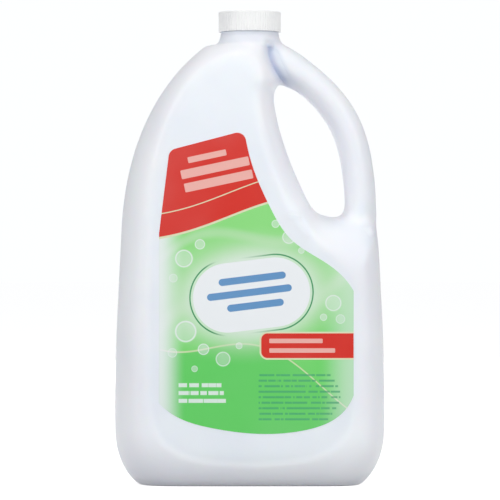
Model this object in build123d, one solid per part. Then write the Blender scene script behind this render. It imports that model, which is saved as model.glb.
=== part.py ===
from build123d import *

import os
from math import cos, exp, pi, sin, sqrt, tanh

# Cleaner refill bottle: a blow-moulded jug with a pass-through handle, a screw cap with a foam
# liner, and a film label on the front. Millimetres. +Z is up, +X points to the handle and the
# label faces -Y. The origin is the centre of the base, on the axis of the neck.

# Overall sizes
overall_height = 270.0
body_width = 154.0
body_depth = 79.0
wall = 0.9

# Side outline of the body, seen from the front
side_lean = 0.048
lean_start = 70.0
left_shoulder_height = 107.5
left_shoulder_overrun = 9.5
left_shoulder_bend = 2.256
left_shoulder_round = 0.59
right_shoulder_height = 118.0
right_shoulder_overrun = 14.0
right_shoulder_bend = 4.47
right_shoulder_round = 1.26
heel_height = 31.0
heel_inset = 15.0
heel_round = 0.70
heel_middle_share = 0.7
heel_clearance = 0.4

# Depth of the body, and the corner between its front and its side
depth_shoulder_height = 86.0
depth_shoulder_overrun = 2.0
depth_bend = 5.0
depth_round = 0.325
left_corner_width = 34.0
right_corner_width = 26.0
corner_sharpness = 2.5
panel_setback = 1.9
panel_crown = 1.0
panel_lean_height = 86.0
panel_lean = 8.0
panel_edge_sharpness = 18.0

# Handle and hand hole
hole_top_drop = 23.0
hole_height = 76.0
hole_left_x = 12.9
hole_left_sweep = 25.5
hole_sweep_power = 1.65
hole_corner_width = 16.0
crease_spread = 5.5
crease_height = 4.0
ledge_width = 36.0
ledge_drop = 0.8
ledge_height = 3.2
ledge_round = 14.0
ledge_slope = 1.2
ledge_start_x = 30.0
rim_sharpness = 2.2
rim_blend = 3.0
rim_half_depth = 5.0
lobe_edge_sharpness = 24.0
grip_width = 18.0
grip_depth = 29.0
grip_root_drop = 14.0
grip_root_inset = 6.0
grip_root_bend = 1.4
grip_flare = 9.0
grip_flare_height = 2.4
grip_flare_drop = 0.5
grip_web = 6.0
grip_web_start = 14.0
grip_web_height = 9.0
grip_top_drop = 1.5
grip_end_shift = (-10.0, 0.0, 3.0)

# Base
dish_length = 96.0
dish_width = 42.0
dish_rise = 3.0
dish_lens_share = 0.25

# Neck and its finish
collar_height = 7.4
collar_top_radius = 16.3
collar_bottom_radius = 18.2
collar_skirt = 2.6
collar_lip = 0.2
neck_wall_extra = 0.3
neck_overlap = 0.6
finish_radius = 15.05
finish_height = 9.5
bore_radius = 13.4
thread_pitch = 4.2333
thread_height = 1.15
thread_root_width = 2.0
thread_crest_width = 0.9
thread_turns = 1.25
cap_thread_turns = 1.0
thread_start_drop = 1.9
thread_sink = 0.25

# Cap and liner
cap_radius = 17.8
cap_height = 11.4
cap_top_thickness = 1.3
cap_edge_round = 0.7
cap_rib_count = 72
cap_rib_depth = 0.3
cap_rib_gap = 0.8
cap_rib_margin = 1.0
cap_rib_outreach = 0.2
cut_overrun = 1.0
liner_thickness = 0.9
liner_gap = 0.3
thread_gap = 0.35

# Label film
label_thickness = 0.15
label_left_margin = 25.8
label_right_margin = 18.6
label_height = 170.3
label_bottom_z = 30.7
label_corner_radius = 5.0

# Heights that follow from the sizes above
finish_top = overall_height - cap_top_thickness - liner_thickness
finish_bottom = finish_top - finish_height
form_top = finish_bottom - collar_height
hole_top = form_top - hole_top_drop
hole_bottom = hole_top - hole_height
half_depth = body_depth / 2
grip_low = hole_bottom - grip_flare_drop
grip_top = form_top - grip_top_drop
cap_inner_radius = finish_radius + thread_height + thread_gap
label_left_x = label_left_margin - body_width / 2
label_width = body_width - label_left_margin - label_right_margin

# How finely the sections of the body are drawn
fine_point_count = 240
section_point_count = 28
heel_stations = 7
heel_closeness = 0.7
flank_stations = 3
ledge_stations = 14
ledge_stations_drop = 37.0
ledge_closeness = 0.7
ledge_stations_rise = 6.0
shoulder_stations = 18
shoulder_closeness = 0.5
grip_stations = 16
grip_root_stations = 6
grip_stations_bend = 0.6


def shoulder(z, height, overrun, bend, roundness):
    """Share of the full size left at height z, on a shoulder that ends at the top of the form."""
    rise = max(0.0, z - (form_top - height)) / (height + overrun)
    return (1 - rise**bend) ** roundness


def heel_drawn_in(z, x_share=1.0):
    """How far the surface is drawn in near the base, from lower down in the middle of the front."""
    top = heel_height * (heel_middle_share + (1 - heel_middle_share) * x_share**2)
    drop = max(0.0, top - z) / (top + heel_clearance)
    return heel_inset * (1 - (1 - drop**2) ** heel_round)


def soft_min(a, b, sharpness):
    """The smaller of two sizes, with a soft change from one to the other."""
    return (a**-sharpness + b**-sharpness) ** (-1 / sharpness)


def flank(z):
    """Half width of the body before its shoulders, with the slight lean of its sides."""
    return body_width / 2 - side_lean * max(0.0, z - lean_start)


def left_edge(z):
    return -flank(z) * shoulder(
        z, left_shoulder_height, left_shoulder_overrun, left_shoulder_bend, left_shoulder_round
    )


def right_edge(z):
    return flank(z) * shoulder(
        z, right_shoulder_height, right_shoulder_overrun, right_shoulder_bend, right_shoulder_round
    )


def hole_share(z):
    """0 at the top of the hand hole, 1 at its bottom, and on in both directions."""
    return (hole_top - z) / hole_height


def step(value, width):
    """Soft step from 0 to 1 around a value of 0."""
    return (1 + tanh(value / width)) / 2


def hole_left_edge(z):
    """Left side of the hand hole, carried on above it by the crease and below it into the body."""
    share = max(0.0, hole_share(z))
    above = max(0.0, form_top - z) / hole_top_drop
    crease = crease_spread * above**2 * step(z - hole_top, crease_height)
    return hole_left_x + hole_left_sweep * share**hole_sweep_power + crease


def lobe_edge(z):
    """Right edge of the body: the crease, the left side of the hole, then the ledge below it."""
    edge = hole_left_edge(z) + ledge_width * step(hole_bottom - ledge_drop - z, ledge_height)
    return soft_min(edge, right_edge(z), lobe_edge_sharpness)


def corner(share, sharpness):
    """Rounded corner from 0 at the edge of a form to 1 on its face."""
    return (1 - max(0.0, 1 - share) ** sharpness) ** (1 / sharpness)


def rim(x, z):
    """Rounding of the faces towards the hand hole: 0 at its edge, 1 on the flat of the body."""
    side = max(0.0, hole_left_edge(z) - x) / hole_corner_width
    reach = ledge_round + ledge_slope * max(0.0, x - ledge_start_x)
    below = max(0.0, hole_bottom - z) / reach
    return corner((side**rim_blend + below**rim_blend) ** (1 / rim_blend), rim_sharpness)


def evenly(points, count):
    """Points at even distances along a line of points, without its two ends."""
    lengths = [0.0]
    for (x1, y1), (x2, y2) in zip(points, points[1:]):
        lengths.append(lengths[-1] + sqrt((x2 - x1) ** 2 + (y2 - y1) ** 2))
    found = []
    place = 0
    for i in range(1, count):
        wanted = lengths[-1] * i / count
        while lengths[place + 1] < wanted:
            place += 1
        share = (wanted - lengths[place]) / (lengths[place + 1] - lengths[place])
        (x1, y1), (x2, y2) = points[place], points[place + 1]
        found.append((x1 + share * (x2 - x1), y1 + share * (y2 - y1)))
    return found


def half_outline(z, grow):
    """One half of the body's outline at one height, from its left edge to its right edge."""
    left = left_edge(z) + heel_drawn_in(z) - grow
    right = lobe_edge(z) - heel_drawn_in(z) + grow
    depth = half_depth * shoulder(
        z, depth_shoulder_height, depth_shoulder_overrun, depth_bend, depth_round
    )
    lean = max(0.0, z - (form_top - panel_lean_height)) / panel_lean_height
    points = [(left, 0.0)]
    for i in range(1, fine_point_count):
        x = left + (right - left) * (1 - cos(pi * i / fine_point_count)) / 2
        x_share = 2 * x / body_width
        drawn_in = heel_drawn_in(z, x_share) - grow
        left_corner = corner((x - left) / left_corner_width, corner_sharpness)
        right_corner = corner((right - x) / right_corner_width, corner_sharpness)
        fullness = min(left_corner, right_corner, rim(x - grow, z))
        y = max((depth - drawn_in) * fullness, rim_half_depth * right_corner)
        panel = half_depth - panel_setback - panel_crown * x_share**2 - panel_lean * lean**2
        points.append((x, soft_min(y, panel - drawn_in, panel_edge_sharpness)))
    points.append((right, 0.0))
    return points


def section(z, grow):
    """Closed outline of the body at one height, larger all round by grow."""
    half = half_outline(z, grow)
    upper = evenly(half, section_point_count)
    level = z * (form_top + 2 * grow) / form_top - grow
    points = [(half[0][0], 0, level)]
    points += [(x, -y, level) for x, y in upper]
    points += [(half[-1][0], 0, level)]
    points += [(x, y, level) for x, y in reversed(upper)]
    marks = [i / len(points) for i in range(len(points) + 1)]
    return Wire([Edge.make_spline(points, periodic=True, parameters=marks)])


def spread(start, end, count, closeness):
    """Heights from start to end: evenly spread at a closeness of 0, closer near the end at 1."""
    steps = [i / count for i in range(count + 1)]
    return [
        start + (end - start) * (closeness * sin(pi / 2 * s) + (1 - closeness) * s) for s in steps
    ]


def stations():
    """Heights of the sections, closer together in the heel, at the ledge and under the neck."""
    ledge_low = hole_bottom - ledge_stations_drop
    ledge_high = hole_bottom + ledge_stations_rise
    heel = spread(heel_height, 0, heel_stations, heel_closeness)
    flanks = spread(heel_height, ledge_low, flank_stations, 0)
    ledge = spread(ledge_low, ledge_high, ledge_stations, ledge_closeness)
    shoulders = spread(ledge_high, form_top, shoulder_stations, shoulder_closeness)
    return heel[:0:-1] + flanks[:-1] + ledge[:-1] + shoulders


def body(grow):
    """The body without its handle, as one smooth loft."""
    return Solid.make_loft([section(z, grow) for z in stations()])


def grip_section(z, grow):
    """Oval section of the handle across its centre line, wider where it runs into the ledge."""
    slope = right_edge(z - 0.5) - right_edge(z + 0.5)
    normal = Vector(1, 0, slope).normalized()
    flare = grip_flare * exp(-max(0.0, z - grip_low) / grip_flare_height)
    web = min(1.0, max(0.0, z - (form_top - grip_web_start)) / grip_web_height)
    flare += grip_web * web**2
    half_width = (grip_width + flare) / 2
    sunk = grip_root_inset * (max(0.0, grip_low - z) / grip_root_drop) ** grip_root_bend
    middle = Vector(right_edge(z), 0, z) - normal * (half_width + sunk)
    plane = Plane(origin=middle, x_dir=(0, 1, 0), z_dir=normal.cross(Vector(0, 1, 0)))
    oval = plane * Ellipse(grip_depth / 2 + grow, half_width + grow)
    return oval.face().outer_wire()


def grip(grow):
    """The handle as a loft of ovals, from inside the ledge to inside the root of the neck."""
    shares = [i / grip_stations for i in range(-grip_root_stations, grip_stations + 1)]
    rise = grip_top - grip_low
    ovals = [grip_section(grip_low + rise * s * abs(s) ** grip_stations_bend, grow) for s in shares]
    ovals.append(ovals[-1].moved(Location(grip_end_shift)))
    return Solid.make_loft(ovals)


def form(grow):
    """The blown form, body and handle together."""
    return body(grow) + grip(grow)


def dish(grow):
    """Shallow dished space under the base."""
    edge_share = sqrt(1 - (1 - dish_lens_share) ** 2)
    half_length = dish_length / 2 / edge_share + grow
    half_width = dish_width / 2 / edge_share + grow
    rise = dish_rise / dish_lens_share
    lens = scale(Solid.make_sphere(1), by=(half_length, half_width, rise + grow))
    return lens.moved(Location((0, 0, dish_rise - rise)))


def revolved(profile):
    """Solid of revolution about the neck's axis from (radius, height) points."""
    face = Face(Wire.make_polygon([(r, 0, z) for r, z in profile], close=True))
    return Solid.revolve(face, 360, Axis.Z)


def neck_outside():
    """Sloping collar and the plain cylinder of the neck's finish."""
    bottom = form_top - collar_skirt
    return revolved(
        [
            (0, bottom),
            (collar_bottom_radius, bottom),
            (collar_bottom_radius, form_top + collar_lip),
            (collar_top_radius, finish_bottom),
            (finish_radius, finish_bottom),
            (finish_radius, finish_top),
            (0, finish_top),
        ]
    )


def neck_inside():
    """Bore of the finish, widening through the collar into the body."""
    wide = collar_bottom_radius - wall - neck_wall_extra
    bottom = form_top - wall - neck_overlap
    return revolved(
        [
            (0, bottom),
            (wide, bottom),
            (wide, form_top + collar_lip),
            (bore_radius, finish_bottom - neck_wall_extra),
            (bore_radius, finish_top + cut_overrun),
            (0, finish_top + cut_overrun),
        ]
    )


def thread(root_radius, height, turns):
    """One right-hand helical ridge, standing outwards, or inwards where height is negative."""
    start = finish_top - thread_start_drop - thread_pitch * thread_turns
    sink = thread_sink if height > 0 else -thread_sink
    half_root = thread_root_width / 2
    half_crest = thread_crest_width / 2
    inner = root_radius - sink
    outer = root_radius + height
    helix = Edge.make_helix(thread_pitch, thread_pitch * turns, root_radius)
    path = Wire([helix.moved(Location((0, 0, start)))])
    ridge = Wire.make_polygon(
        [
            (inner, 0, start - half_root),
            (outer, 0, start - half_crest),
            (outer, 0, start + half_crest),
            (inner, 0, start + half_root),
        ],
        close=True,
    )
    return Solid.sweep(Face(ridge), path, is_frenet=True)


def bottle():
    """Hollow jug with its handle, dished base and threaded neck."""
    outside = form(0) - dish(0) + neck_outside()
    inside = form(-wall) - dish(wall) + neck_inside()
    return outside - inside + thread(finish_radius, thread_height, thread_turns)


def rib_gaps():
    """Upright V-shaped gaps between the ribs of the cap."""
    height = cap_height - cap_rib_margin
    half = cap_rib_gap / 2
    outer = cap_radius + cap_rib_outreach
    corners = [(cap_radius - cap_rib_depth, 0), (outer, -half), (outer, half)]
    gap = extrude(Face(Wire.make_polygon(corners, close=True)), amount=height + cut_overrun).solid()
    bottom = overall_height - cap_height
    step_angle = 360 / cap_rib_count
    return [
        gap.moved(Location((0, 0, bottom - cut_overrun), (0, 0, step_angle * i)))
        for i in range(cap_rib_count)
    ]


def cap():
    """Screw cap with fine upright ribs and, half a turn from the neck's ridge, one of its own."""
    bottom = overall_height - cap_height
    shell = Solid.make_cylinder(cap_radius, cap_height).moved(Location((0, 0, bottom)))
    top_edge = shell.edges().filter_by(GeomType.CIRCLE).sort_by(Axis.Z)[-1]
    shell = shell.fillet(cap_edge_round, [top_edge])
    depth = cap_height - cap_top_thickness
    space = Solid.make_cylinder(cap_inner_radius, depth).moved(Location((0, 0, bottom)))
    shell = (shell - space).cut(*rib_gaps())
    ridge = thread(cap_inner_radius, -thread_height, cap_thread_turns)
    return shell + ridge.rotate(Axis.Z, 180)


def cap_liner():
    """Foam disc that seals the rim of the neck, held up inside the cap."""
    disc = Solid.make_cylinder(cap_inner_radius - liner_gap, liner_thickness)
    return disc.moved(Location((0, 0, finish_top)))


def label_point(across, up):
    """Place on the label from its shares of the label's width and height."""
    return (label_left_x + across * label_width, 0, label_bottom_z + up * label_height)


def label_outline():
    """Outline of the label: a leaning head, a right side that follows the handle, a smiling foot."""
    foot_left = label_point(0, 0.1)
    neck_left = label_point(0.002, 0.66)
    head_left = label_point(0.055, 0.935)
    head_right = label_point(0.44, 1.0)
    waist = [(0.485, 0.875), (0.565, 0.755), (0.68, 0.64), (0.86, 0.562)]
    shoulder_right = label_point(1, 0.47)
    foot_right = label_point(1, 0.125)
    foot = [(0.91, 0.05), (0.73, 0.008), (0.47, 0), (0.285, 0.016), (0.1, 0.052)]
    right_side = Edge.make_spline([head_right, *[label_point(*p) for p in waist], shoulder_right])
    bottom = Edge.make_spline([foot_right, *[label_point(*p) for p in foot], foot_left])
    outline = Wire(
        [
            Edge.make_line(foot_left, neck_left),
            Edge.make_line(neck_left, head_left),
            Edge.make_line(head_left, head_right),
            right_side,
            Edge.make_line(shoulder_right, foot_right),
            bottom,
        ]
    )
    face = Face(outline)
    top_corners = face.vertices().sort_by(Axis.Z)[-2:]
    return face.fillet_2d(label_corner_radius, top_corners)


def front_label():
    """Thin printed film that follows the front of the body."""
    prism = extrude(label_outline(), amount=body_depth, dir=(0, -1, 0))
    front = body(label_thickness).intersect(prism.solid()).solid()
    return front - form(0)


def write_parts():
    os.makedirs("parts", exist_ok=True)
    export_step(bottle(), "parts/bottle.step")
    export_step(cap(), "parts/cap.step")
    export_step(cap_liner(), "parts/cap_liner.step")
    export_step(front_label(), "parts/front_label.step")


write_parts()
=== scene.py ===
import math

import bmesh
import bpy
import numpy as np
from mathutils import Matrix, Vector
from mathutils.bvhtree import BVHTree


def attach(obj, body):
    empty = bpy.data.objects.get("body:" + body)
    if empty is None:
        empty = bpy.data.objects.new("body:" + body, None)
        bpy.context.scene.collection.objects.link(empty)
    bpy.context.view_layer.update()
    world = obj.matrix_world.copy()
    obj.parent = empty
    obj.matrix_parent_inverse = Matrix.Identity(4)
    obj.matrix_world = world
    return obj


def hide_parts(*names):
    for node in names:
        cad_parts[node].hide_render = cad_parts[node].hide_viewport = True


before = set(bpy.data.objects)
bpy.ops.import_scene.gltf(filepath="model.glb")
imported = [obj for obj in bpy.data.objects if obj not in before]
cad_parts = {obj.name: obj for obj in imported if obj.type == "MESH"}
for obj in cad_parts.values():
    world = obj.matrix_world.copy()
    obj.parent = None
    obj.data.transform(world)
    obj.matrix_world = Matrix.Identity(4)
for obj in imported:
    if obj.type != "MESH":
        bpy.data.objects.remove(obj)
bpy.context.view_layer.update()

# The bottle stands on the floor, its neck over the origin, the label towards -Y and the handle
# towards +X. A value times MM is a length in Blender's metres.
MM = 0.001

# Camera: level, in front of the label, at half the height of the bottle
IMAGE_SPAN = 286.5 * MM
CAMERA_DISTANCE = 1.9
CAMERA_X = 0.15 * MM
CAMERA_Z = 133.8 * MM
SENSOR_MM = 36.0

# Square lamps: name, place and edge in metres, power in watts, and whether gloss mirrors them
LAMP_TARGET = (0, 0, 0.13)
LAMPS = (
    ("left_light", (-1.1, -0.9, 0.7), 0.9, 6.8, True),
    ("right_light", (1.1, -0.9, 0.7), 0.9, 7.8, True),
    ("top_light", (0, -0.3, 1.5), 1.0, 3.8, True),
    ("front_light", (0, -2.2, 0.6), 1.2, 7.3, True),
    ("back_left_light", (-0.5, 1.9, 0.6), 0.9, 7.0, False),
    ("back_right_light", (0.5, 1.9, 0.6), 0.9, 7.0, False),
)

# World and floor: what lights the object, and what the camera sees on top of that
WORLD_COLOUR = (0.97, 0.985, 1.0, 1)
WORLD_STRENGTH = 0.42
WORLD_SEEN_STRENGTH = 0.6
FLOOR_REACH = 12.0
FLOOR_COLOUR = (0.45, 0.46, 0.48, 1)
FLOOR_SEEN_COLOUR = (0.95, 0.95, 0.95, 1)
FLOOR_SEEN_GLOW = 0.6
WHITE = (1, 1, 1, 1)

# Meshes: how close corners are joined, how exact cuts and the rim are, and the angle in degrees
# from which an edge looks sharp
JOIN_DISTANCE = 1e-6
CUT_TOLERANCE = 1e-7
RIM_TOLERANCE = 1e-5
SHARP_ANGLE = 40

# Skin of the bottle: its cells, the height where it is closed while it is drawn, the height where
# the neck of the solid takes over, and how much each round of smoothing moves it
SKIN_CELL = 1.4 * MM
SKIN_TOP = 262.0 * MM
NECK_CUT = 256.5 * MM
SKIN_ROUNDS = 12
SKIN_SHARE = 0.16
ROOT_ROUNDS = 30
ROOT_SHARE = 0.6
ROOT_GAIN = 1.4

# Roots of the handle, in millimetres: x and how far it reaches, z and how far it reaches
HANDLE_ROOTS = ((72, 16, 149, 12), (36, 14, 152, 9))

# Panel sunk into the front and the back, in millimetres: outline in x and z, width of its edge,
# depth, and the least distance from the middle plane at which it starts
PANEL_OUTLINE = (
    (-57.5, 62.0),
    (-57.5, 120.0),
    (-55.5, 160.0),
    (-50.0, 195.0),
    (-38.0, 224.0),
    (-22.0, 241.0),
    (-10.0, 244.0),
    (4.0, 243.0),
    (6.0, 232.0),
    (6.0, 214.0),
    (13.0, 190.0),
    (23.0, 167.0),
    (30.0, 150.0),
    (40.5, 134.0),
    (51.0, 125.0),
    (59.0, 116.0),
    (61.5, 104.0),
    (61.5, 62.0),
    (59.0, 34.0),
    (44.0, 18.0),
    (15.0, 13.0),
    (-15.0, 13.0),
    (-42.0, 18.0),
    (-56.0, 34.0),
)
PANEL_ROUNDS = 2
PANEL_EDGE = 5.0
PANEL_DEPTH = 0.7
PANEL_LEAST_Y = 12.0
PANEL_Y_FADE = 6.0

# Crease between body and handle, in millimetres: its line in x and z, its width towards the body
# and towards the handle, its depth, and how it fades at its ends and towards the middle plane
CREASE_LINE = ((25.5, 224.0), (19.6, 230.0), (16.4, 234.2), (13.4, 239.6), (11.6, 245.6), (10.8, 252.0))
CREASE_BODY_WIDTH = 1.6
CREASE_HANDLE_WIDTH = 4.5
CREASE_DEPTH = 3.0
CREASE_LOW_FADE = 8.0
CREASE_HIGH_FADE = 5.0
CREASE_LEAST_Y = 4.0
CREASE_Y_FADE = 6.0

# Label film: its cells, how far it stands off the skin and how far its edge goes in, and how
# squarely a face of the solid has to look forwards to belong to the front
LABEL_CELL = 3.0 * MM
FILM_LIFT = 0.16 * MM
FILM_SINK = 0.05 * MM
FRONT_FACING = 0.5
RAY_START_Y = -1.0


# Meshes


def vertex_places(mesh):
    """The places of a mesh's vertices, one row each."""
    places = np.empty(len(mesh.vertices) * 3)
    mesh.vertices.foreach_get("co", places)
    return places.reshape(-1, 3)


def new_object(name, bm, material, body):
    """An object made from bm, smooth but for its sharp edges, that rides on a CAD body."""
    for face in bm.faces:
        face.smooth = True
    for edge in bm.edges:
        if len(edge.link_faces) == 2:
            edge.smooth = edge.calc_face_angle(0) < math.radians(SHARP_ANGLE)
    mesh = bpy.data.meshes.new(name)
    bm.to_mesh(mesh)
    bm.free()
    obj = bpy.data.objects.new(name, mesh)
    bpy.context.scene.collection.objects.link(obj)
    obj.data.materials.append(material)
    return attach(obj, body)


def cad_mesh(node):
    """The CAD node's mesh, with the corners that the frame file splits joined again."""
    bm = bmesh.new()
    bm.from_mesh(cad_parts[node].data)
    bmesh.ops.remove_doubles(bm, verts=bm.verts, dist=JOIN_DISTANCE)
    return bm


def islands(bm):
    """The separate surfaces of bm, as lists of faces, the one that reaches furthest in X first."""
    left = set(bm.faces)
    found = []
    while left:
        stack = [left.pop()]
        island = list(stack)
        while stack:
            for edge in stack.pop().edges:
                for other in edge.link_faces:
                    if other in left:
                        left.remove(other)
                        stack.append(other)
                        island.append(other)
        found.append(island)
    return sorted(found, key=lambda faces: -max(v.co.x for f in faces for v in f.verts))


def part_of(bm, faces):
    """A new mesh of only these faces of bm."""
    made = bmesh.new()
    copies = {}
    for face in faces:
        for vert in face.verts:
            if vert not in copies:
                copies[vert] = made.verts.new(vert.co)
        made.faces.new([copies[v] for v in face.verts])
    return made


def add_piece(bm, piece):
    """Adds the mesh of piece to bm, and frees it."""
    mesh = bpy.data.meshes.new("piece")
    piece.to_mesh(mesh)
    piece.free()
    bm.from_mesh(mesh)
    bpy.data.meshes.remove(mesh)


def open_edges(bm):
    """The edges around the openings of bm."""
    return [e for e in bm.edges if len(e.link_faces) == 1]


def cut(bm, place, normal, **options):
    """Cuts bm along a plane, and returns the new edges."""
    geometry = [*bm.verts, *bm.edges, *bm.faces]
    result = bmesh.ops.bisect_plane(
        bm, geom=geometry, dist=CUT_TOLERANCE, plane_co=place, plane_no=normal, **options
    )
    return [g for g in result["geom_cut"] if isinstance(g, bmesh.types.BMEdge)]


def keep_above(bm, height):
    return cut(bm, (0, 0, height), (0, 0, 1), clear_inner=True)


def keep_below(bm, height):
    return cut(bm, (0, 0, height), (0, 0, 1), clear_outer=True)


def remeshed(bm, cell):
    """A closed mesh drawn again with small even faces."""
    mesh = bpy.data.meshes.new("remesh_source")
    bm.to_mesh(mesh)
    source = bpy.data.objects.new("remesh_source", mesh)
    bpy.context.scene.collection.objects.link(source)
    modifier = source.modifiers.new("remesh", "REMESH")
    modifier.mode = "VOXEL"
    modifier.voxel_size = cell
    modifier.adaptivity = 0
    graph = bpy.context.evaluated_depsgraph_get()
    result = bpy.data.meshes.new_from_object(source.evaluated_get(graph))
    bpy.data.objects.remove(source)
    bpy.data.meshes.remove(mesh)
    return result


def smooth(mesh, weights, rounds):
    """Moves each vertex towards the mean of its neighbours, by its own weight."""
    places = vertex_places(mesh)
    count = len(places)
    edges = np.empty(len(mesh.edges) * 2, int)
    mesh.edges.foreach_get("vertices", edges)
    first, second = edges.reshape(-1, 2).T
    neighbours = np.bincount(edges, minlength=count)[:, None]
    share = weights(places)[:, None]
    for _ in range(rounds):
        total = np.zeros_like(places)
        for axis in range(3):
            total[:, axis] += np.bincount(first, places[second, axis], count)
            total[:, axis] += np.bincount(second, places[first, axis], count)
        places += share * (total / neighbours - places)
    mesh.vertices.foreach_set("co", places.ravel())


# Nodes of the materials


class Number:
    """A number worked out by a material's nodes, with plain arithmetic."""

    def __init__(self, tree, socket):
        self.tree = tree
        self.socket = socket

    def run(self, operation, *others):
        node = self.tree.nodes.new("ShaderNodeMath")
        node.operation = operation
        for place, value in enumerate((self, *others)):
            if isinstance(value, Number):
                self.tree.links.new(value.socket, node.inputs[place])
            else:
                node.inputs[place].default_value = value
        return Number(self.tree, node.outputs[0])

    def __add__(self, other):
        return self.run("ADD", other)

    def __sub__(self, other):
        return self.run("SUBTRACT", other)

    def __mul__(self, other):
        return self.run("MULTIPLY", other)

    def __truediv__(self, other):
        return self.run("DIVIDE", other)

    def __abs__(self):
        return self.run("ABSOLUTE")

    def sine(self):
        return self.run("SINE")

    def floor(self):
        return self.run("FLOOR")

    def fraction(self):
        return self.run("FRACT")

    def higher(self, other):
        return self.run("MAXIMUM", other)

    def length_with(self, other):
        return (self * self + other * other).run("SQRT")

    def ramp(self, low, high, to_low=0.0, to_high=1.0):
        """Soft change from to_low at low to to_high at high."""
        node = self.tree.nodes.new("ShaderNodeMapRange")
        node.interpolation_type = "SMOOTHSTEP"
        self.tree.links.new(self.socket, node.inputs["Value"])
        node.inputs["From Min"].default_value = low
        node.inputs["From Max"].default_value = high
        node.inputs["To Min"].default_value = to_low
        node.inputs["To Max"].default_value = to_high
        return Number(self.tree, node.outputs["Result"])

    def fall(self, low, high):
        """Soft change from 1 at low to 0 at high."""
        return self.ramp(low, high, 1.0, 0.0)

    def between(self, nothing_below, full_from, full_to, nothing_above):
        """Soft rise from 0 to 1 between the first two, and soft fall between the last two."""
        return self.ramp(nothing_below, full_from) * self.fall(full_to, nothing_above)


class Paint:
    """One material: a principled surface with colours laid over each other."""

    def __init__(self, name, colour):
        self.material = bpy.data.materials.new(name)
        self.material.use_nodes = True
        self.tree = self.material.node_tree
        self.nodes = self.tree.nodes
        self.surface = self.nodes["Principled BSDF"]
        self.surface.inputs["Base Color"].default_value = (*colour, 1)
        self.coordinates = self.nodes.new("ShaderNodeTexCoord").outputs["Object"]

    def setting(self, **values):
        """Sets constants on the surface, with underscores for the spaces in their names."""
        for name, value in values.items():
            self.surface.inputs[name.replace("_", " ")].default_value = value

    def axes(self):
        """Place on the surface in millimetres, as x, y and z."""
        split = self.nodes.new("ShaderNodeSeparateXYZ")
        self.tree.links.new(self.coordinates, split.inputs[0])
        return [Number(self.tree, split.outputs[i]) / MM for i in range(3)]

    def noise_at(self, place, detail):
        """Soft noise around 0.5, with marks of about 1, at a place that nodes work out."""
        node = self.nodes.new("ShaderNodeTexNoise")
        node.inputs["Scale"].default_value = 1.0
        node.inputs["Detail"].default_value = detail
        self.tree.links.new(place, node.inputs["Vector"])
        return Number(self.tree, node.outputs["Fac"])

    def noise(self, size, detail=2.0):
        """Soft noise around 0.5 with marks of about this size."""
        place = self.nodes.new("ShaderNodeMapping")
        place.inputs["Scale"].default_value = (1 / size,) * 3
        self.tree.links.new(self.coordinates, place.inputs["Vector"])
        return self.noise_at(place.outputs[0], detail)

    def over(self, colour, where, share=1.0):
        """Lays a share of a colour over what is there, where a number is 1."""
        mix = self.nodes.new("ShaderNodeMix")
        mix.data_type = "RGBA"
        self.tree.links.new((where * share).socket, mix.inputs["Factor"])
        below = self.surface.inputs["Base Color"]
        if below.is_linked:
            self.tree.links.new(below.links[0].from_socket, mix.inputs["A"])
        else:
            mix.inputs["A"].default_value = below.default_value
        mix.inputs["B"].default_value = (*colour, 1)
        self.tree.links.new(mix.outputs["Result"], below)

    def mottle(self, colour, size, start, full, share=1.0):
        """Lays soft patches of a colour over what is there, between two levels of a noise."""
        self.over(colour, self.noise(size).ramp(start, full), share)

    def uneven_gloss(self, noise, least, most):
        """Roughness that wanders with a noise from least to most."""
        roughness = noise.ramp(*NOISE_REACH, least, most)
        self.tree.links.new(roughness.socket, self.surface.inputs["Roughness"])

    def relief(self, height, depth):
        """Fine relief of this depth."""
        node = self.nodes.new("ShaderNodeBump")
        node.inputs["Strength"].default_value = 1.0
        node.inputs["Distance"].default_value = depth
        self.tree.links.new(height.socket, node.inputs["Height"])
        self.tree.links.new(node.outputs[0], self.surface.inputs["Normal"])


def linear(red, green, blue):
    """Colour for a shader from its values on a screen, 0 to 255."""
    return tuple(
        c / 12.92 if c <= 0.04045 else ((c + 0.055) / 1.055) ** 2.4
        for c in (red / 255, green / 255, blue / 255)
    )


# Levels between which most of a noise lies
NOISE_REACH = (0.3, 0.7)

# Plastic of the bottle: its colours, and in millimetres the half width of the parting line, the
# painted shade in the crease between body and handle as a line that runs out from its x below its
# top, with its soft edges, and the height of the painted shadow that the cap casts on the collar
BOTTLE_WHITE = linear(242, 241, 247)
BOTTLE_PALE = linear(247, 246, 250)
PARTING_GREY = linear(214, 220, 230)
CREASE_SHADE_PALE = linear(160, 180, 214)
CREASE_SHADE_BLUE = linear(120, 146, 200)
COLLAR_SHADOW_GREY = linear(206, 214, 228)
PARTING_HALF_WIDTH = (0.12, 0.5)
CREASE_SHADE_TOP = 250.0
CREASE_SHADE_X = 11.0
CREASE_SHADE_STEP = 20.0
CREASE_SHADE_SWEEP = 8.6
CREASE_SHADE_Z = (226, 232, 249, 252.5)
CREASE_SHADE_WIDE = (-6, 0, 0, 9)
CREASE_SHADE_NARROW = (-1.7, -0.2, 0.2, 3.4)
COLLAR_SHADOW_Z = (250.5, 253, 258, 259)
GRAIN_SHARE = 0.5


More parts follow.
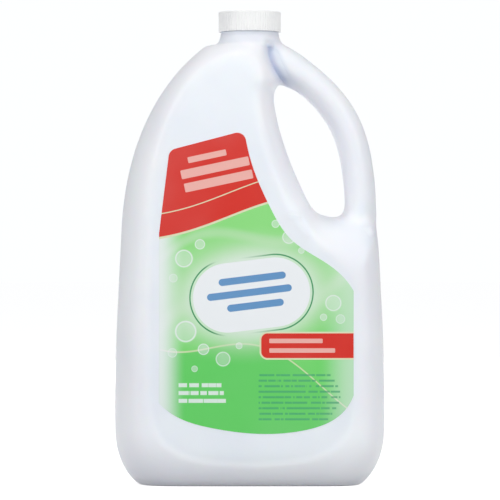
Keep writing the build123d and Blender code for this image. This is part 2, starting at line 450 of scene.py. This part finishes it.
def bottle_plastic():
    """Satin white polyethylene with a faint parting line, painted bluish shade in its crease and a
    painted shadow on the collar under the cap.
    """
    paint = Paint("bottle_plastic", BOTTLE_WHITE)
    x, y, z = paint.axes()
    paint.mottle(BOTTLE_PALE, size=45 * MM, start=0.35, full=0.7)
    parting = abs(y).fall(*PARTING_HALF_WIDTH)
    paint.over(PARTING_GREY, parting, share=0.5)
    # Painted shade: a bluish darkening along the crease between body and handle, where shade falls
    drop = (z * -1 + CREASE_SHADE_TOP).higher(0.0) / CREASE_SHADE_STEP
    from_crease = x - drop * drop * CREASE_SHADE_SWEEP - CREASE_SHADE_X
    along_crease = z.between(*CREASE_SHADE_Z)
    paint.over(CREASE_SHADE_PALE, from_crease.between(*CREASE_SHADE_WIDE) * along_crease, share=0.36)
    paint.over(CREASE_SHADE_BLUE, from_crease.between(*CREASE_SHADE_NARROW) * along_crease, share=0.3)
    # Painted shadow: a grey band on the collar just under the cap, where the cap's shadow falls
    paint.over(COLLAR_SHADOW_GREY, z.between(*COLLAR_SHADOW_Z), share=0.3)
    paint.uneven_gloss(paint.noise(6 * MM), least=0.36, most=0.44)
    grain = paint.noise(1.1 * MM, detail=3.0) * GRAIN_SHARE
    paint.relief(grain + parting, depth=0.05 * MM)
    paint.setting(IOR=1.5, Subsurface_Weight=0.12, Subsurface_Scale=3 * MM)
    return paint.material


def cap_plastic():
    """White polypropylene, a little duller than the bottle."""
    paint = Paint("cap_plastic", linear(249, 249, 248))
    paint.mottle(linear(244, 244, 244), size=9 * MM, start=0.4, full=0.7)
    paint.uneven_gloss(paint.noise(3 * MM), least=0.42, most=0.52)
    paint.relief(paint.noise(0.5 * MM, detail=3.0), depth=0.02 * MM)
    paint.setting(IOR=1.49)
    return paint.material


def liner_foam():
    """Fine-celled foam sheet."""
    paint = Paint("liner_foam", linear(240, 239, 232))
    cells = paint.noise(0.35 * MM)
    paint.over(linear(222, 221, 212), cells.ramp(0.5, 0.7))
    paint.relief(cells, depth=0.06 * MM)
    paint.setting(Roughness=0.8, IOR=1.4)
    return paint.material


# Shapes of the print. Places are in millimetres, x and z.


def disc(x, z, centre, radius):
    """Distance outside a circle, negative inside it."""
    return (x - centre[0]).length_with(z - centre[1]) - radius


def turned(x, z, centre, degrees):
    """Place measured from a centre, along axes turned by some degrees."""
    across, up = x - centre[0], z - centre[1]
    cosine, sine = math.cos(math.radians(degrees)), math.sin(math.radians(degrees))
    return across * cosine + up * sine, up * cosine - across * sine


def slab(x, z, half_width, half_height, radius):
    """Distance outside a rounded rectangle around the origin, negative inside it."""
    across = (abs(x) - (half_width - radius)).higher(0.0)
    up = (abs(z) - (half_height - radius)).higher(0.0)
    return across.length_with(up) - radius


def above_wave(x, z, slope, swing, turn, start=0.0):
    """Height above a slanting wave that swings up and down as x goes on."""
    return z - x * slope - (x * turn + start).sine() * swing


def inside(distance, soft=0.12):
    """1 where a distance is negative, 0 where it is positive."""
    return distance.fall(-soft, soft)


def line(distance, width, soft=0.12):
    """1 on a line of this width along the edge of a shape."""
    return inside(abs(distance) - width / 2, soft)


# Colours of the label
GREEN = linear(140, 222, 126)
BRIGHT_GREEN = linear(100, 212, 96)
DEEP_GREEN = linear(84, 200, 92)
DARK_GREEN = linear(44, 150, 86)
PALE_GREEN = linear(196, 229, 190)
TEAL = linear(52, 160, 110)
PAPER = linear(240, 243, 245)
CREAM = linear(224, 224, 186)
RED = linear(214, 34, 14)
PINK = linear(240, 178, 168)
BLUE = linear(92, 146, 196)

# Green field: its waves, where its colours change, and its sides
UPPER_WAVE = {"slope": 0.5, "swing": -16, "turn": 0.045}
LOWER_WAVE = {"slope": -0.35, "swing": 11, "turn": 0.05, "start": 1.1}
LOWER_WAVE_Z = 71
BRIGHT_FALL = (60, 112)
LEFT_SIDE = (-51, -36)
RIGHT_SIDE = (38, 58.4)

# Pale streaks on the upper wave: height, width, softness and share
STREAKS = ((104, 9, 4.0, 0.55), (141, 5, 2.2, 0.5))

# Badge in the middle: its place, tilt in degrees and half sizes, the broken line around it, the
# glow behind it, and its bars as x, z, half width and half height
BADGE_CENTRE = (1.0, 108.5)
BADGE_TILT = 7.0
BADGE_HALF_WIDTH = 33.0
BADGE_HALF_HEIGHT = 19.5
BADGE_LINE_OUT = 1.7
BADGE_LINE_WIDTH = 0.8
BADGE_LINE_RIGHT = (-6, 20)
BADGE_LINE_LEFT = (-26, -16)
GLOW_STRETCH = 1.5
GLOW_GREEN = (17, 40)
GLOW_WHITE = (14, 32)
BADGE_BARS = ((1.5, 9.0, 19.0, 2.0), (-1.0, 1.5, 24.0, 2.0), (1.5, -6.0, 16.0, 2.0))

# Head: height and form of its lower edge, and its bars as x, z, half width and half height
HEAD_Z = 155.0
HEAD_WAVE = {"slope": 0.22, "swing": 3.5, "turn": 0.05, "start": 0.6}
HEAD_LINE_UP = 13.5
HEAD_TILT = 12.0
HEAD_BARS = ((-24.0, 186.5, 11.0, 1.7), (-19.5, 180.0, 19.5, 2.5), (-17.5, 172.6, 19.5, 2.5))
HEAD_BAR_RADIUS = 0.6

# Ribbon at the right edge: its right end, middle height, left end and half height, and its bars as
# z and half width
RIBBON_X = 62.0
RIBBON_Z = 80.0
RIBBON_LEFT = 6.0
RIBBON_HALF_HEIGHT = 7.4
RIBBON_RADIUS = 4.0
RIBBON_MARGIN = 5.0
RIBBON_BARS = ((2.7, 15.0), (-2.7, 18.5))
RIBBON_BAR_HALF_HEIGHT = 1.25
RIBBON_BAR_RADIUS = 0.5

# Bubbles: x, z, radius and how strongly they show
BUBBLES = (
    (-37.0, 129.0, 4.6, 0.7),
    (-28.0, 137.0, 2.6, 0.8),
    (-43.0, 118.0, 2.2, 0.6),
    (-36.0, 88.0, 5.6, 0.7),
    (-26.0, 78.0, 2.9, 0.8),
    (-43.5, 76.0, 2.4, 0.6),
    (-15.0, 72.5, 3.8, 0.6),
    (-6.0, 80.0, 1.7, 0.8),
    (-31.0, 67.0, 1.6, 0.8),
    (22.0, 141.0, 3.4, 0.7),
    (14.5, 148.5, 2.0, 0.8),
    (29.0, 133.5, 1.6, 0.8),
    (47.0, 104.0, 4.2, 0.6),
    (41.5, 96.0, 1.8, 0.8),
    (51.0, 95.0, 2.4, 0.6),
)
BUBBLE_FILL = 0.45
BUBBLE_SOFT_SHARE = 0.3
BUBBLE_RIM_SHARE = 0.16

# Rows of dashes: how fast the noise that breaks them runs along a row and from row to row, where
# it makes a gap, and how the rows end at the right
DASH_RUN = 0.45
ROW_STEP = 7.3
DASH_GAP = (0.38, 0.44)
ROW_SOFT = 0.06
END_SOFT = 0.005
RAGGED_TURN = 12.9898
RAGGED_SWING = 0.12
RAGGED_MEAN = 0.86


def green_field(paint, x, z):
    """Green with two long waves, paler towards its sides and behind the badge."""
    upper = above_wave(x, z, **UPPER_WAVE)
    lower = above_wave(x, z, **LOWER_WAVE) - LOWER_WAVE_Z
    paint.over(BRIGHT_GREEN, upper.fall(*BRIGHT_FALL), share=0.85)
    paint.over(DEEP_GREEN, inside(lower, soft=0.4), share=0.55)
    for height, width, soft, share in STREAKS:
        paint.over(PALE_GREEN, line(upper - height, width, soft), share)
    paint.over(CREAM, line(lower, width=0.9, soft=0.3), share=0.8)
    across, up = turned(x, z, BADGE_CENTRE, BADGE_TILT)
    glow = (across / GLOW_STRETCH).length_with(up)
    paint.over(PALE_GREEN, glow.fall(*GLOW_GREEN), share=0.9)
    paint.over(PAPER, glow.fall(*GLOW_WHITE), share=0.7)
    paint.over(PAPER, x.fall(*LEFT_SIDE), share=0.9)
    paint.over(PAPER, x.ramp(*RIGHT_SIDE), share=0.5)


def bubbles(paint, x, z):
    """Clear bubbles with pale rims."""
    for place_x, place_z, radius, share in BUBBLES:
        bubble = disc(x, z, (place_x, place_z), radius)
        paint.over(PAPER, inside(bubble, soft=radius * BUBBLE_SOFT_SHARE), share * BUBBLE_FILL)
        paint.over(PAPER, line(bubble, width=radius * BUBBLE_RIM_SHARE, soft=0.2), share)


def badge(paint, x, z):
    """White rounded badge with plain blue bars, and a thin line around its ends."""
    across, up = turned(x, z, BADGE_CENTRE, BADGE_TILT)
    edge = slab(across, up, BADGE_HALF_WIDTH, BADGE_HALF_HEIGHT, BADGE_HALF_HEIGHT)
    around = line(edge - BADGE_LINE_OUT, BADGE_LINE_WIDTH)
    paint.over(PAPER, inside(edge))
    paint.over(DARK_GREEN, around * across.ramp(*BADGE_LINE_RIGHT))
    paint.over(DARK_GREEN, around * across.fall(*BADGE_LINE_LEFT))
    for bar_x, bar_z, half_width, half_height in BADGE_BARS:
        bar = slab(across - bar_x, up - bar_z, half_width, half_height, half_height)
        paint.over(BLUE, inside(bar))


def ribbon(paint, x, z):
    """Red ribbon that comes in from the right edge, with plain bars."""
    up = z - RIBBON_Z
    edge = slab(x - RIBBON_X, up, RIBBON_X - RIBBON_LEFT, RIBBON_HALF_HEIGHT, RIBBON_RADIUS)
    paint.over(RED, inside(edge))
    paint.over(CREAM, line(edge, width=0.9))
    for bar_z, half_width in RIBBON_BARS:
        across = x - (RIBBON_LEFT + RIBBON_MARGIN + half_width)
        bar = slab(across, up - bar_z, half_width, RIBBON_BAR_HALF_HEIGHT, RIBBON_BAR_RADIUS)
        paint.over(PINK, inside(bar))


def dashed_rows(paint, x, z, left, right, top, rows, pitch, height):
    """Rows of small plain dashes, ragged at their right ends."""
    down = (z * -1 + top) / pitch
    row = down.floor()
    in_row = inside(abs(down.fraction() - 0.5) - height / pitch / 2, ROW_SOFT)
    place = paint.nodes.new("ShaderNodeCombineXYZ")
    paint.tree.links.new((x * DASH_RUN).socket, place.inputs[0])
    paint.tree.links.new((row * ROW_STEP).socket, place.inputs[1])
    dashes = paint.noise_at(place.outputs[0], 1.0).ramp(*DASH_GAP)
    across = (x - left) / (right - left)
    end = (row * RAGGED_TURN).sine() * RAGGED_SWING + RAGGED_MEAN
    in_width = inside(across * -1, END_SOFT) * inside(across - end, END_SOFT)
    in_rows = inside(row * -1 - 0.5) * inside(row - (rows - 0.5))
    return in_row * dashes * in_width * in_rows


def dash_blocks(paint, x, z):
    """Two blocks of dashes at the foot of the label."""
    right = dashed_rows(paint, x, z, left=5, right=52, top=65, rows=9, pitch=3.1, height=1.1)
    paint.over(TEAL, right, share=0.75)
    left = dashed_rows(paint, x, z, left=-40, right=-12, top=60, rows=3, pitch=4.4, height=2.2)
    paint.over(PAPER, left, share=0.8)


def head(paint, x, z):
    """Red head with a wavy lower edge and tilted plain bars."""
    edge = above_wave(x, z, **HEAD_WAVE) - HEAD_Z
    paint.over(RED, inside(edge * -1))
    paint.over(CREAM, line(edge, width=1.2))
    paint.over(CREAM, line(edge - HEAD_LINE_UP, width=0.6))
    for bar_x, bar_z, half_width, half_height in HEAD_BARS:
        across, up = turned(x, z, (bar_x, bar_z), HEAD_TILT)
        paint.over(PINK, inside(slab(across, up, half_width, half_height, HEAD_BAR_RADIUS)))


def label_film():
    """Printed film: a red head with plain bars over a green field of waves and bubbles."""
    paint = Paint("label_film", GREEN)
    x, _, z = paint.axes()
    for layer in (green_field, bubbles, badge, ribbon, dash_blocks, head):
        layer(paint, x, z)
    paint.mottle(PAPER, size=60 * MM, start=0.35, full=0.75, share=0.05)
    paint.uneven_gloss(paint.noise(40 * MM, detail=0.0), least=0.30, most=0.36)
    paint.setting(IOR=1.5, Specular_IOR_Level=0.3)
    return paint.material


# The bottle


def bump(value, centre, width):
    """1 at the centre, falling softly to nothing over about the width."""
    return np.exp(-(((value - centre) / width) ** 2))


def soft_step(value, width):
    """0 well below zero, 1 well above it, with a smooth change as wide as width."""
    share = np.clip(value / width + 0.5, 0, 1)
    return share * share * (3 - 2 * share)


def even_weights(places):
    """Light smoothing all over."""
    return np.full(len(places), SKIN_SHARE)


def root_weights(places):
    """Strong smoothing where the handle runs into the body, and none elsewhere."""
    x, _, z = places.T / MM
    near = sum(
        bump(x, root_x, reach_x) * bump(z, root_z, reach_z)
        for root_x, reach_x, root_z, reach_z in HANDLE_ROOTS
    )
    return ROOT_SHARE * np.clip(ROOT_GAIN * near, 0, 1)


def depth_inside(x, z, outline):
    """How far each place lies inside a closed outline, negative outside it."""
    nearest = np.full(len(x), np.inf)
    crossings = np.zeros(len(x), int)
    for (x1, z1), (x2, z2) in zip(outline, np.roll(outline, -1, axis=0)):
        along_x, along_z = x2 - x1, z2 - z1
        length = along_x**2 + along_z**2
        share = np.clip(((x - x1) * along_x + (z - z1) * along_z) / length, 0, 1)
        away = np.hypot(x - x1 - share * along_x, z - z1 - share * along_z)
        nearest = np.minimum(nearest, away)
        if z1 != z2:
            spans = (z1 > z) != (z2 > z)
            crossings += spans & (x < x1 + (z - z1) * along_x / along_z)
    return np.where(crossings % 2 == 1, nearest, -nearest)


def rounded_path(points, rounds):
    """A closed outline with its corners cut off at a quarter of each side, again and again."""
    path = np.array(points, float)
    for _ in range(rounds):
        after = np.roll(path, -1, axis=0)
        path = np.stack([path * 0.75 + after * 0.25, path * 0.25 + after * 0.75], 1)
        path = path.reshape(-1, 2)
    return path


def sunk_panel(x, y, z):
    """How deep the front and back panels lie at each place."""
    depth = depth_inside(x, z, rounded_path(PANEL_OUTLINE, PANEL_ROUNDS))
    facing = soft_step(np.abs(y) - PANEL_LEAST_Y, PANEL_Y_FADE)
    return PANEL_DEPTH * soft_step(depth, PANEL_EDGE) * facing


def crease(x, y, z):
    """How deep the crease between body and handle is at each place."""
    line_x, line_z = np.array(CREASE_LINE).T
    beside = x - np.interp(z, line_z, line_x)
    width = np.where(beside < 0, CREASE_BODY_WIDTH, CREASE_HANDLE_WIDTH)
    groove = bump(beside, 0, width)
    groove *= soft_step(z - line_z[0], CREASE_LOW_FADE) * soft_step(line_z[-1] - z, CREASE_HIGH_FADE)
    return CREASE_DEPTH * groove * soft_step(np.abs(y) - CREASE_LEAST_Y, CREASE_Y_FADE)


def sink_details(mesh):
    """Moves the skin inwards at the panels and the crease."""
    places = vertex_places(mesh)
    x, y, z = places.T / MM
    sunk = sunk_panel(x, y, z) + crease(x, y, z)
    places[:, 1] -= np.sign(y) * sunk * MM
    mesh.vertices.foreach_set("co", places.ravel())


def blown_skin(outside):
    """The outside of the bottle below the neck, drawn again as one smooth surface."""
    closed = outside.copy()
    bmesh.ops.contextual_create(closed, geom=keep_below(closed, SKIN_TOP))
    mesh = remeshed(closed, SKIN_CELL)
    closed.free()
    smooth(mesh, even_weights, SKIN_ROUNDS)
    smooth(mesh, root_weights, ROOT_ROUNDS)
    sink_details(mesh)
    skin = bmesh.new()
    skin.from_mesh(mesh)
    bpy.data.meshes.remove(mesh)
    keep_below(skin, NECK_CUT)
    return skin


def make_bottle(material):
    """The blown skin, with the neck, the rim and the inside of the solid."""
    solid = cad_mesh("bottle")
    top = max(v.co.z for v in solid.verts)
    rim_faces = [f for f in solid.faces if min(v.co.z for v in f.verts) > top - RIM_TOLERANCE]
    rim = part_of(solid, rim_faces)
    bmesh.ops.delete(solid, geom=rim_faces, context="FACES_ONLY")
    outside, within = [part_of(solid, faces) for faces in islands(solid)]
    solid.free()
    skin = blown_skin(outside)
    skin_corners = len(skin.verts)
    keep_above(outside, NECK_CUT)
    for piece in (outside, rim, within):
        add_piece(skin, piece)
    bmesh.ops.remove_doubles(skin, verts=skin.verts[skin_corners:], dist=JOIN_DISTANCE)
    bmesh.ops.bridge_loops(skin, edges=open_edges(skin))
    bmesh.ops.recalc_face_normals(skin, faces=skin.faces)
    obj = new_object("bottle_skin", skin, material, "bottle")
    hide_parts("bottle")
    return obj


def label_sheet():
    """The outline of the label's solid as a flat sheet, cut into small cells."""
    sheet = cad_mesh("front_label")
    others = [f for f in sheet.faces if f.normal.y > -FRONT_FACING]
    bmesh.ops.delete(sheet, geom=others, context="FACES")
    inner = [e for e in sheet.edges if len(e.link_faces) == 2]
    bmesh.ops.dissolve_edges(sheet, edges=inner, use_verts=False)
    for vert in sheet.verts:
        vert.co.y = 0
    for axis, normal in ((0, (1, 0, 0)), (2, (0, 0, 1))):
        low = min(v.co[axis] for v in sheet.verts)
        high = max(v.co[axis] for v in sheet.verts)
        cells = int((high - low) / LABEL_CELL) + 1
        for i in range(1, cells):
            place = [0, 0, 0]
            place[axis] = low + (high - low) * i / cells
            cut(sheet, place, normal)
    return sheet


def make_label(material, skin):
    """The printed film, a thin sheet that lies on the skin."""
    film = label_sheet()
    tree = BVHTree.FromObject(skin, bpy.context.evaluated_depsgraph_get())
    for vert in film.verts:
        hit = tree.ray_cast(Vector((vert.co.x, RAY_START_Y, vert.co.z)), Vector((0, 1, 0)))[0]
        vert.co.y = hit.y - FILM_LIFT
    border = bmesh.ops.extrude_edge_only(film, edges=open_edges(film))["geom"]
    for vert in border:
        if isinstance(vert, bmesh.types.BMVert):
            vert.co.y += FILM_LIFT + FILM_SINK
    bmesh.ops.recalc_face_normals(film, faces=film.faces)
    obj = new_object("label_print", film, material, "bottle")
    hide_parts("front_label")


def dress(node, material):
    """Gives a CAD node its finished material."""
    node.data.materials.clear()
    node.data.materials.append(material)


# Camera, light and floor


def make_camera():
    """Level camera whose picture spans IMAGE_SPAN at the neck's axis."""
    data = bpy.data.cameras.new("camera")
    data.sensor_width = SENSOR_MM
    data.lens = SENSOR_MM * CAMERA_DISTANCE / IMAGE_SPAN
    camera = bpy.data.objects.new("camera", data)
    camera.location = (CAMERA_X, -CAMERA_DISTANCE, CAMERA_Z)
    camera.rotation_euler = (math.radians(90), 0, 0)
    bpy.context.scene.collection.objects.link(camera)
    bpy.context.scene.camera = camera


def area_light(name, place, edge, power, mirrored):
    """A soft square lamp that faces the bottle, and shows in gloss if mirrored."""
    data = bpy.data.lights.new(name, "AREA")
    data.size = edge
    data.energy = power
    light = bpy.data.objects.new(name, data)
    light.location = place
    light.visible_glossy = mirrored
    towards = Vector(LAMP_TARGET) - Vector(place)
    light.rotation_euler = towards.to_track_quat("-Z", "Y").to_euler()
    bpy.context.scene.collection.objects.link(light)


def make_world():
    """Even pale light, brighter where the camera sees it."""
    world = bpy.data.worlds.new("world")
    bpy.context.scene.world = world
    world.use_nodes = True
    tree = world.node_tree
    background = tree.nodes["Background"]
    background.inputs["Color"].default_value = WORLD_COLOUR
    path = tree.nodes.new("ShaderNodeLightPath")
    seen = Number(tree, path.outputs["Is Camera Ray"])
    strength = seen * WORLD_SEEN_STRENGTH + WORLD_STRENGTH
    tree.links.new(strength.socket, background.inputs["Strength"])


def floor_material():
    """Matt grey that looks white to the camera and in reflections."""
    material = bpy.data.materials.new("floor")
    material.use_nodes = True
    tree = material.node_tree
    surface = tree.nodes["Principled BSDF"]
    surface.inputs["Roughness"].default_value = 1.0
    surface.inputs["Specular IOR Level"].default_value = 0.0
    surface.inputs["Emission Color"].default_value = WHITE
    path = tree.nodes.new("ShaderNodeLightPath")
    mirrored = Number(tree, path.outputs["Is Glossy Ray"])
    seen = Number(tree, path.outputs["Is Camera Ray"]).higher(mirrored)
    mix = tree.nodes.new("ShaderNodeMix")
    mix.data_type = "RGBA"
    mix.inputs["A"].default_value = FLOOR_COLOUR
    mix.inputs["B"].default_value = FLOOR_SEEN_COLOUR
    tree.links.new(seen.socket, mix.inputs["Factor"])
    tree.links.new(mix.outputs["Result"], surface.inputs["Base Color"])
    tree.links.new((seen * FLOOR_SEEN_GLOW).socket, surface.inputs["Emission Strength"])
    return material


def make_floor():
    """Wide pale floor that keeps the object's shadow."""
    bm = bmesh.new()
    bmesh.ops.create_grid(bm, x_segments=1, y_segments=1, size=FLOOR_REACH)
    mesh = bpy.data.meshes.new("floor")
    bm.to_mesh(mesh)
    bm.free()
    floor = bpy.data.objects.new("floor", mesh)
    bpy.context.scene.collection.objects.link(floor)
    floor.data.materials.append(floor_material())


make_camera()
make_world()
make_floor()
for lamp in LAMPS:
    area_light(*lamp)
bottle_skin = make_bottle(bottle_plastic())
make_label(label_film(), bottle_skin)
dress(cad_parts["cap"], cap_plastic())
dress(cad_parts["cap_liner"], liner_foam())

bpy.context.scene.view_settings.view_transform = "Standard"
